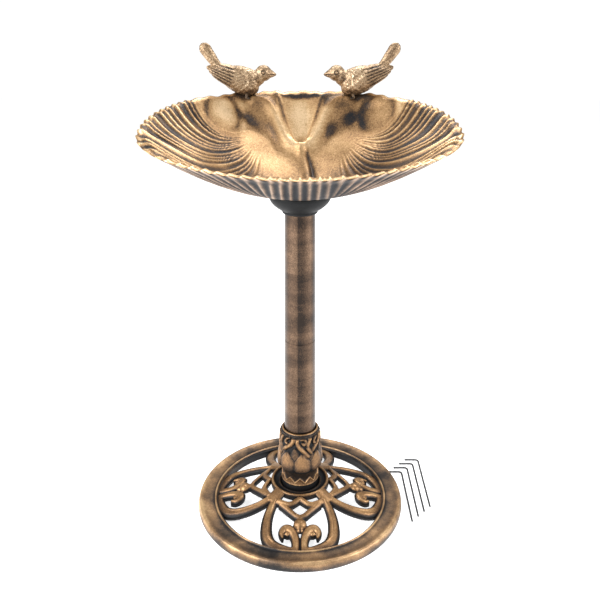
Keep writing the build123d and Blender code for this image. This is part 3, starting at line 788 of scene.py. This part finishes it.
# Inside, kept at least LEAST_WALL above the outside.
in_shares = np.concatenate([np.linspace(0.995, 0.9, 14), np.linspace(0.89, 0.0, 106)])
T, S = np.meshgrid(theta, in_shares, indexing="ij")
ix, iy, iz = section(T, S, WALL_INSET, FLOOR_LIFT, INNER_POWER)
add, inner_bright = inner_relief(ix, iy, S)
spare = FLOOR_LIFT + (RIM_HEIGHT - SEAT) * (S**INNER_POWER - S ** outer_power(T))
add = np.maximum(add, LEAST_WALL - spare)
pull = smooth_step(0.86, 1.0, S)
shrink = 1 - notch * pull / np.hypot(ix, iy)
ix, iy = ix * shrink, iy * shrink
iz = iz + add - 2.9 * smooth_step(0.95, 1.0, S) - 0.9 * pull * notch

# Floor over the seat, and the small ring in the middle of the underside.
T, S = np.meshgrid(theta, np.linspace(0.94, 0.06, 9), indexing="ij")
across, along = outline(T)
cx, cy = (SEAT_RADIUS - WALL_INSET) * S * across, (SEAT_RADIUS - WALL_INSET) * S * along
core_add, core_bright = inner_relief(cx, cy, np.zeros_like(cx))
cz = SEAT + FLOOR_LIFT + np.maximum(core_add, LEAST_WALL - FLOOR_LIFT)
under_x, under_y = outline(theta)
under = np.stack([UNDER_RADIUS * under_x, UNDER_RADIUS * under_y, np.full(TURN, SEAT)], 1)

bowl_grid = np.concatenate([under[:, None], np.stack([ox, oy, oz], 2), np.stack([ix, iy, iz], 2),
                            np.stack([cx, cy, cz], 2)], 1)
out_bright = 0.12 + 0.74 * outer_wave + 0.2 * edge
rim_bright = smooth_step(0.965, 0.995, in_shares)[None, :] * 0.45
bowl_relief = np.concatenate([np.zeros((TURN, 1)), out_bright, inner_bright + rim_bright, core_bright], 1)
count = bowl_grid.shape[1]
bowl_faces = ring_faces(TURN, count)
bowl_faces.append(tuple(i * count + count - 1 for i in range(TURN)))
bowl_faces.append(tuple(reversed([i * count for i in range(TURN)])))
bowl_piece = make_object("shell_bowl", bowl_grid.reshape(-1, 3), bowl_faces, bowl_relief.ravel())
dress(bowl_piece, "bronze_bowl", "bronze_bowl_outside")
column = np.arange(len(bowl_piece.data.polygons)) % (count - 1)
outside = column < len(out_shares)
outside[-2:] = (False, True)        # the faces that close the floor's middle and the underside's
bowl_piece.data.polygons.foreach_set("material_index", outside.astype(np.int32))
settle(bowl_piece, "bowl_unit", "bowl")


# ---- Birds ----
BIRD_VOXEL = 0.75
BIRD_INSET, BIRD_STAND = 4.2685, 23.0542    # a bird's own origin, from the middle and the foot of its CAD box
WING_SLOPE, TAIL_SLOPE = math.radians(21.0), 0.52
EYE_X, EYE_Z = 33.6, 13.0


def bird_parts():
    """The closed solids that a bird is fused from, about its own origin, with its beak to +X."""
    parts = [
        # Body, back, breast, neck and head.
        ellipsoid((-3.0, 0, 0.0), (31.0, 15.0, 17.5), 26.0),
        ellipsoid((2.0, 0, 6.0), (30.0, 13.5, 15.0), 15.0),
        ellipsoid((-16.0, 0, 8.0), (30.0, 13.5, 14.5), 20.0),
        ellipsoid((12.0, 0, -2.0), (15.0, 13.0, 17.0), 0.0),
        ellipsoid((24.0, 0, 5.0), (11.5, 10.5, 12.0), 40.0),
        ellipsoid((33.2, 0, 11.6), (12.2, 10.6, 11.6), 6.0),
        # Beak, and the tail with its round end.
        tube([(37.0, 0, 11.4), (42.0, 0, 10.8), (46.5, 0, 10.1), (50.4, 0, 9.5), (52.6, 0, 9.2)],
             (9.2, 7.4, 4.8, 2.4, 0.8)),
        tube([(-30.0, 0, 13.0), (-36.0, 0, 22.0), (-43.0, 0, 32.0), (-48.0, 0, 39.0), (-51.5, 0, 44.0)],
             (6.0, 6.8, 7.9, 8.7, 8.9)),
        ellipsoid((-51.6, 0, 44.2), (11.6, 8.9, 9.1), 55.0),
    ]
    for near in (-1, 1):
        # Wing and its tip, eye, leg and three toes.
        parts.append(ellipsoid((-15.0, near * 9.5, 4.5), (37.0, 6.6, 12.5), 25.0))
        parts.append(ellipsoid((-30.0, near * 7.5, 11.0), (24.0, 5.6, 6.5), 26.0))
        parts.append(ellipsoid((EYE_X, near * 9.6, EYE_Z), (2.5, 1.6, 2.5)))
        parts.append(tube([(7.0, near * 6.0, -16.0), (7.5, near * 6.5, -24.5)], (2.6, 2.0)))
        for spread in (-3.4, 0.0, 3.4):
            parts.append(tube([(6.0, near * 6.5 + spread * 0.4, -23.0), (12.0, near * 6.5 + spread, -24.6)],
                              (1.7, 1.2)))
    return parts


def plumage(x, y, z):
    """Height of a bird's feathers, how bright they are with painted shade on the belly, and how far each point belongs
    to the tail.
    """
    c, s = math.cos(WING_SLOPE), math.sin(WING_SLOPE)
    along, across = x * c - z * s, x * s + z * c
    head = smooth_step(21.0, 27.0, x) * smooth_step(-2.0, 4.0, z)
    tail = smooth_step(16.0, 24.0, z) * smooth_step(-26.0, -36.0, x)

    # Long wing feathers, fanned from the shoulder.
    wing = smooth_step(3.0, 6.5, np.abs(y)) * (1 - head) * (1 - tail) * smooth_step(14.0, 4.0, along)
    long_feathers = wing * smooth_step(-6.0, -20.0, along)
    fan = (across - 3.0) / (0.62 + 0.012 * (along + 55.0)) / 4.3
    fan_grooves = long_feathers * (1 - np.abs(np.sin(math.pi * fan)) ** 0.6)

    # Small overlapping feathers in uneven rows.
    drift = 0.9 * np.sin(0.71 * x + 0.9 * z) + 0.7 * np.sin(1.3 * z - 0.5 * x + 0.8 * y)
    rows, columns = (along + drift) / 4.2, (across + 0.8 * drift) / 4.6
    offset = 0.5 * (np.floor(rows) % 2)
    scales = np.hypot((rows % 1.0) - 0.1, ((columns + offset) % 1.0 - 0.5) * 1.1)
    scale_rise = np.clip(1 - scales, 0, 1) * (1 - long_feathers) * (1 - tail) * (1 - 0.75 * head)

    # Tail feathers, the wing's front edge, the eye's rim and the beak's gape.
    lengthwise = x * math.cos(TAIL_SLOPE) + z * math.sin(TAIL_SLOPE)
    tail_grooves = tail * (1 - np.abs(np.sin(math.pi * lengthwise / 3.2)) ** 0.6)
    wing_edge = bump(along - 9.0 + 0.035 * across**2, 1.5) * smooth_step(3.0, 7.0, np.abs(y)) * (1 - head)
    eye_rim = bump(np.hypot(x - EYE_X, z - EYE_Z) - 2.7, 0.8) * smooth_step(6.0, 8.5, np.abs(y))
    gape = bump(z - 9.6 + 0.12 * (x - 46.0), 0.5) * smooth_step(41.0, 43.5, x)

    height = (-1.3 * fan_grooves + 0.5 * scale_rise + 0.12 * drift * (1 - long_feathers) - 0.15 * tail_grooves
              + 0.5 * wing_edge - 0.8 * eye_rim - 0.5 * gape)
    # Brightness, with painted shade on the belly, darker towards the bottom, and a dark patch on the neck.
    bright = (0.52 + 0.20 * scale_rise + 0.06 * drift - 0.75 * fan_grooves - 0.10 * tail_grooves
              + 0.14 * wing_edge - 0.7 * eye_rim - 0.6 * gape - 0.45 * smooth_step(-6.0, -22.0, z)
              - 0.35 * spot(x - 23.0, z - 4.0, 5.0))
    return height, bright, tail


def bird(name, node, side):
    """A perched bird looking to the middle: side is -1 for the left one."""
    low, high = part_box(node)
    piece = fused(name, bird_parts(), BIRD_VOXEL)
    points = points_of(piece)
    height, bright, tail = plumage(*points.T)
    points = points + normals_of(piece) * height[:, None]
    points[:, 1] *= 1 - 0.42 * tail
    points[:, 0] *= -side
    origin = ((low.x + high.x) / 2 / MM - side * BIRD_INSET, (low.y + high.y) / 2 / MM, low.z / MM + BIRD_STAND)
    move_points(piece, points + np.array(origin))
    if side > 0:
        piece.data.flip_normals()       # it is a mirror image
    set_relief(piece, bright)
    dress(piece, "bronze_bird")
    settle(piece, "bowl_unit", node)


bird("songbird_left", "left_bird", -1)
bird("songbird_right", "right_bird", 1)


# ---- Studio ----
BACKDROP, AMBIENT = 0.78, 0.26

floor_finish = plain("studio_floor", (0.80, 0.80, 0.80), (0.83, 0.83, 0.83), 60.0, (0.9, 0.8), bump_strength=0.02)
floor_shader = floor_finish.node_tree.nodes["Principled BSDF"]
floor_shader.inputs["Emission Color"].default_value = (1, 1, 1, 1)
floor_shader.inputs["Emission Strength"].default_value = BACKDROP
floor_mesh = bpy.data.meshes.new("studio_floor")
floor_mesh.from_pydata([(-6, -6, 0), (6, -6, 0), (6, 6, 0), (-6, 6, 0)], [], [(0, 1, 2, 3)])
floor_mesh.materials.append(floor_finish)
add_object("studio_floor", floor_mesh)


def soft_light(name, place, width, height, power):
    """A rectangular softbox aimed at the middle of the bird bath."""
    data = bpy.data.lights.new(name, "AREA")
    data.shape, data.size, data.size_y, data.energy = "RECTANGLE", width, height, power
    lamp = add_object(name, data)
    lamp.location = place
    lamp.rotation_euler = (Vector((0, 0, 0.35)) - Vector(place)).to_track_quat("-Z", "Y").to_euler()


soft_light("softbox_left", (-1.45, -0.95, 1.15), 1.9, 1.9, 78)
soft_light("softbox_right", (1.8, -0.7, 1.1), 1.25, 1.7, 46)
soft_light("softbox_top", (0.2, 0.8, 2.1), 1.4, 1.0, 34)

world = bpy.data.worlds.new("studio_world")
world.use_nodes = True
tree = world.node_tree
background = tree.nodes["Background"]
background.inputs["Color"].default_value = (1, 1, 1, 1)
seen = tree.nodes.new("ShaderNodeLightPath").outputs["Is Camera Ray"]
tree.links.new(maths(tree, "ADD", maths(tree, "MULTIPLY", seen, BACKDROP), AMBIENT), background.inputs["Strength"])
scene = bpy.context.scene
scene.world = world
scene.view_settings.view_transform = "Standard"

camera = add_object("camera", bpy.data.cameras.new("camera"))
camera.data.lens, camera.data.sensor_width = 42.09, 36.0
camera.location = (0.0, -0.958, 0.752)
camera.rotation_euler = (math.radians(90.0 - 22.26), 0, 0)
scene.camera = camera
